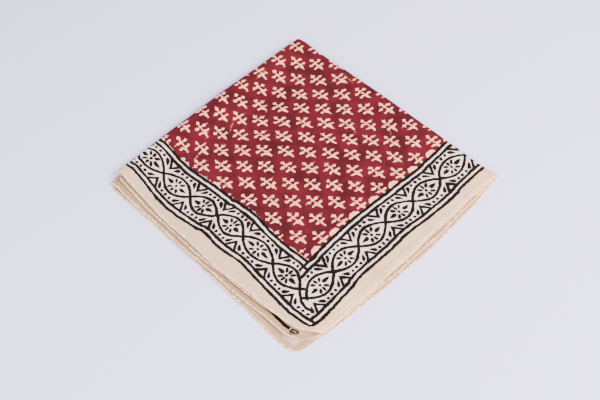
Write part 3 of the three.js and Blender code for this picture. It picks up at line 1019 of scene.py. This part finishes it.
def makePrintedCotton(settings):
    material, tree = bareMaterial("blockPrintedCotton")
    chart = borderChart
    dye = {name: linearColour(value) for name, value in settings.items() if isinstance(value, str)}

    sheet = addNode(tree, "UVMap", {"uv_map": "clothPrint"})
    place = addNode(tree, "VectorMath", "SCALE", sheet, 1000.0)
    uneven = {name: addNode(tree, "TexNoise", {"noise_dimensions": "2D"}, place, *row)
              for name, row in settings["uneven"].items()}
    rough, jag = (addNode(tree, "Math", "MULTIPLY_ADD", uneven[name], reach, -reach / 2)
                  for name, reach in (("grain", settings["grainReach"]), ("jag", settings["jagReach"])))
    press = addNode(tree, "Math", "MULTIPLY_ADD", uneven["press"], settings["pressReach"],
                    chart["inkSpread"] - settings["pressReach"] / 2)

    # dye creeps along the threads and the block presses unevenly, so no edge is quite true
    creep = addNode(tree, "VectorMath", "SUBTRACT", uneven["creep"].outputs["Color"], (0.5, 0.5, 0.5))
    creep = addNode(tree, "VectorMath", "SCALE", creep, settings["creepReach"])
    wandered = addNode(tree, "VectorMath", "ADD", place, creep)
    parts = addNode(tree, "SeparateXYZ", None, wandered)
    absU, absV = (addNode(tree, "Math", "ABSOLUTE", parts.outputs[axis]) for axis in ("X", "Y"))
    farU, farV = (addNode(tree, "Math", "LESS_THAN", parts.outputs[axis], 0.0) for axis in ("X", "Y"))
    blackU, acrossU = borderPrint(tree, absV, absU, firstBorder, farU)
    blackV, acrossV = borderPrint(tree, absU, absV, secondBorder, farV)
    blackShape = together(tree, [blackU, blackV, loopPrint(tree, absU, absV, farU, farV)])
    sprigs, droppedPlace = halfDrop(tree, wandered, absU, absV)

    # between the sprigs the field's block leaves round cream scallops along the first border
    dropped = addNode(tree, "SeparateXYZ", None, droppedPlace)
    redU = addNode(tree, "Math", "ADD", acrossU, chart["lineFar"])
    scallopPlace = addNode(tree, "CombineXYZ", None, redU, dropped.outputs["Y"])
    scallops = printPetal(tree, scallopPlace, (0, 0), fieldChart["scallop"])
    creamShape = addNode(tree, "Math", "MINIMUM", sprigs, scallops)
    short = addNode(tree, "Math", "MULTIPLY_ADD", uneven["shortfall"], *settings["redShort"])
    short = addNode(tree, "Math", "MAXIMUM", short, 0.0)
    redV = addNode(tree, "Math", "ADD", acrossV, chart["lineFar"])
    redV = addNode(tree, "Math", "ADD", redV, short)
    redShape = addNode(tree, "Math", "MAXIMUM", redU, redV)

    # rough, slightly feathered edges for every printed shape
    black = addNode(tree, "Math", "ADD", blackShape, rough)
    black = addNode(tree, "Math", "SUBTRACT", black, press)
    black = addNode(tree, "MapRange", softly, black, *settings["blackEdge"], 0.0, 1.0)
    cream = addNode(tree, "Math", "ADD", creamShape, rough)
    cream = addNode(tree, "Math", "ADD", cream, jag)
    creamEdge = [end - fieldChart["creamShrink"] for end in settings["creamEdge"]]
    cream = addNode(tree, "MapRange", softly, cream, *creamEdge, 0.0, 1.0)
    red = addNode(tree, "MapRange", softly, redShape, *settings["redEdge"], 0.0, 1.0)

    # madder is patchy, deeper where the cloth took more of it
    patchy = addNode(tree, "MapRange", None, uneven["dye"], *settings["dyePatches"], 0.0, 1.0)
    field = addNode(tree, "Mix", blend, patchy, dye["madder"], dye["madderDeep"])
    field = addNode(tree, "Mix", blend, wornRed(tree, wandered, jag), field, dye["sprig"])
    field = addNode(tree, "Mix", blend, cream, field, dye["sprig"])

    # the unprinted margin, and the paler ground of the borders
    patchy = addNode(tree, "MapRange", None, uneven["margin"], *settings["marginPatches"], 0.0, 1.0)
    ground = addNode(tree, "Mix", blend, patchy, dye["margin"], dye["marginDeep"])
    besideSecond = addNode(tree, "Math", "SUBTRACT", absV, absU)
    # painted shade: the margin beside the second border is painted darker, where less light falls on it
    paintedMarginShadeMask = addNode(tree, "MapRange", softly, besideSecond, *settings["paintedMarginShadeReach"], 0.0, settings["paintedMarginShadeShare"])
    ground = addNode(tree, "Mix", blend, paintedMarginShadeMask, ground, dye["paintedMarginShade"])
    outU, outV = (addNode(tree, "Math", "SUBTRACT", across, chart["lineFar"]) for across in (acrossU, acrossV))
    outside = addNode(tree, "Math", "MAXIMUM", outU, outV)
    inBorder = addNode(tree, "MapRange", softly, outside, *settings["borderEdge"], 0.0, 1.0)
    ground = addNode(tree, "Mix", blend, inBorder, ground, dye["ground"])
    printed = addNode(tree, "Mix", blend, red, ground, field)

    # painted highlight: every edge is painted bright; painted shade: the layers beneath are painted brown near their
    # hems, where the layer above shades them
    edgeU, edgeV = (addNode(tree, "Math", "SUBTRACT", clothShape["half"], across) for across in (absU, absV))
    fromEdge = addNode(tree, "Math", "MINIMUM", edgeU, edgeV)
    fromEdge = addNode(tree, "Math", "MULTIPLY_ADD", jag, settings["hemJag"], fromEdge)
    wrong = addNode(tree, "Attribute", {"attribute_name": "wrongSide"}).outputs["Fac"]
    under = addNode(tree, "Math", "MAXIMUM", wrong, farU)
    under = addNode(tree, "Math", "MAXIMUM", under, farV)
    # painted shade near the hems of the layers beneath
    paintedHemShadeMask = addNode(tree, "MapRange", softly, fromEdge, *settings["paintedHemShadeReach"], 0.0, settings["paintedHemLightShare"])
    paintedHemShadeMask = addNode(tree, "Math", "MULTIPLY", paintedHemShadeMask, under)
    # painted highlight along every edge
    paintedHighlightMask = addNode(tree, "MapRange", softly, fromEdge, *settings["paintedHighlightReach"], 0.0, settings["paintedHemLightShare"])
    printedWithPaintedLight = addNode(tree, "Mix", blend, paintedHemShadeMask, printed, dye["paintedHemShade"])
    printedWithPaintedLight = addNode(tree, "Mix", blend, paintedHighlightMask, printedWithPaintedLight, dye["paintedEdgeHighlight"])
    inked = addNode(tree, "Mix", blend, black, printedWithPaintedLight, dye["black"])

    # on the wrong side the print only shows through
    hidden = addNode(tree, "Math", "MULTIPLY", wrong, settings["backHides"])
    # the painted hem shade and the painted edge highlight show on the wrong side as well
    paintedShadeOrHighlight = addNode(tree, "Math", "MAXIMUM", paintedHemShadeMask, paintedHighlightMask)
    pale = addNode(tree, "Mix", blend, paintedShadeOrHighlight, dye["wrongSide"], printedWithPaintedLight)
    sided = addNode(tree, "Mix", blend, hidden, inked, pale)

    height, slubs = plainWeave(tree, place, uneven["grain"], settings)
    shade = addNode(tree, "MapRange", None, slubs, *settings["slubShade"])
    colour = addNode(tree, "Mix", {"data_type": "RGBA", "blend_type": "MULTIPLY"}, 1.0, sided, shade)
    bump = addNode(tree, "Bump", {**settings["bump"], "Height": height})
    shader = addNode(tree, "BsdfPrincipled", {**settings["surface"], "Base Color": colour, "Normal": bump})
    addNode(tree, "OutputMaterial", {"Surface": shader})
    return material


# Spun cotton sewing thread: cream, twisted, a little brighter than the cloth
sewingThread = {
    "light": "#F0D0AA",
    "deep": "#B98A5E",
    "twist": 0.45,  # one turn in mm
    "bump": {"Strength": 0.4, "Distance": 0.0001},
    "surface": {"Roughness": 0.75, "IOR": 1.47, "Specular IOR Level": 0.3},
}


def makeSewingThread(settings):
    material, tree = bareMaterial("cottonSewingThread")
    place = addNode(tree, "TexCoord").outputs["Object"]
    twist = addNode(tree, "TexNoise", {"Detail": 1.0}, place, 1000 / settings["twist"] / 4)
    colour = addNode(tree, "Mix", blend, twist, linearColour(settings["deep"]), linearColour(settings["light"]))
    bump = addNode(tree, "Bump", {**settings["bump"], "Height": twist})
    shader = addNode(tree, "BsdfPrincipled", {**settings["surface"], "Base Color": colour, "Normal": bump})
    addNode(tree, "OutputMaterial", {"Surface": shader})
    return material


cloth.data.materials.append(makePrintedCotton(printedCotton))
stitches.data.materials.append(makeSewingThread(sewingThread))
print("materials made")

for piece in (cloth, stitches):
    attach(piece, "root")
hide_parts("folded_cloth")


# a matte pale floor under two large soft lamps, in a dim even room
studio = {
    "floor": "#D2CDF2",
    "floorHalf": 4.0,  # metres
    "floorRoughness": 0.95,
    "floorGloss": 0.2,
    "world": "#E4E4F4",
    "worldStrength": 1.25,
    "key": {"place": (1.15, 0.5, 1.1), "size": 0.9, "power": 92.0, "colour": "#FFFAF4"},
    "fill": {"place": (0.7, -1.1, 1.0), "size": 1.4, "power": 62.0, "colour": "#F6F7FF"},
}


def buildStudio(settings):
    mesh = bpy.data.meshes.new("floor")
    far = settings["floorHalf"]
    mesh.from_pydata([(-far, -far, 0), (far, -far, 0), (far, far, 0), (-far, far, 0)], [], [(0, 1, 2, 3)])
    floor = bpy.data.objects.new("floor", mesh)
    scene.collection.objects.link(floor)
    material = bpy.data.materials.new("matteFloor")
    material.use_nodes = True
    shader = material.node_tree.nodes["Principled BSDF"]
    shader.inputs["Base Color"].default_value = linearColour(settings["floor"])
    shader.inputs["Roughness"].default_value = settings["floorRoughness"]
    shader.inputs["Specular IOR Level"].default_value = settings["floorGloss"]
    mesh.materials.append(material)
    for name in ("key", "fill"):
        lamp = settings[name]
        data = bpy.data.lights.new(name + "Light", "AREA")
        data.shape = "SQUARE"
        data.size = lamp["size"]
        data.energy = lamp["power"]
        data.color = linearColour(lamp["colour"])[:3]
        light = bpy.data.objects.new(name + "Light", data)
        light.location = lamp["place"]
        light.rotation_euler = (-Vector(lamp["place"])).to_track_quat("-Z", "Y").to_euler()
        scene.collection.objects.link(light)
    world = bpy.data.worlds.new("softRoom")
    scene.world = world
    world.use_nodes = True
    sky = world.node_tree.nodes["Background"]
    sky.inputs["Color"].default_value = linearColour(settings["world"])
    sky.inputs["Strength"].default_value = settings["worldStrength"]


buildStudio(studio)
print("studio lit")
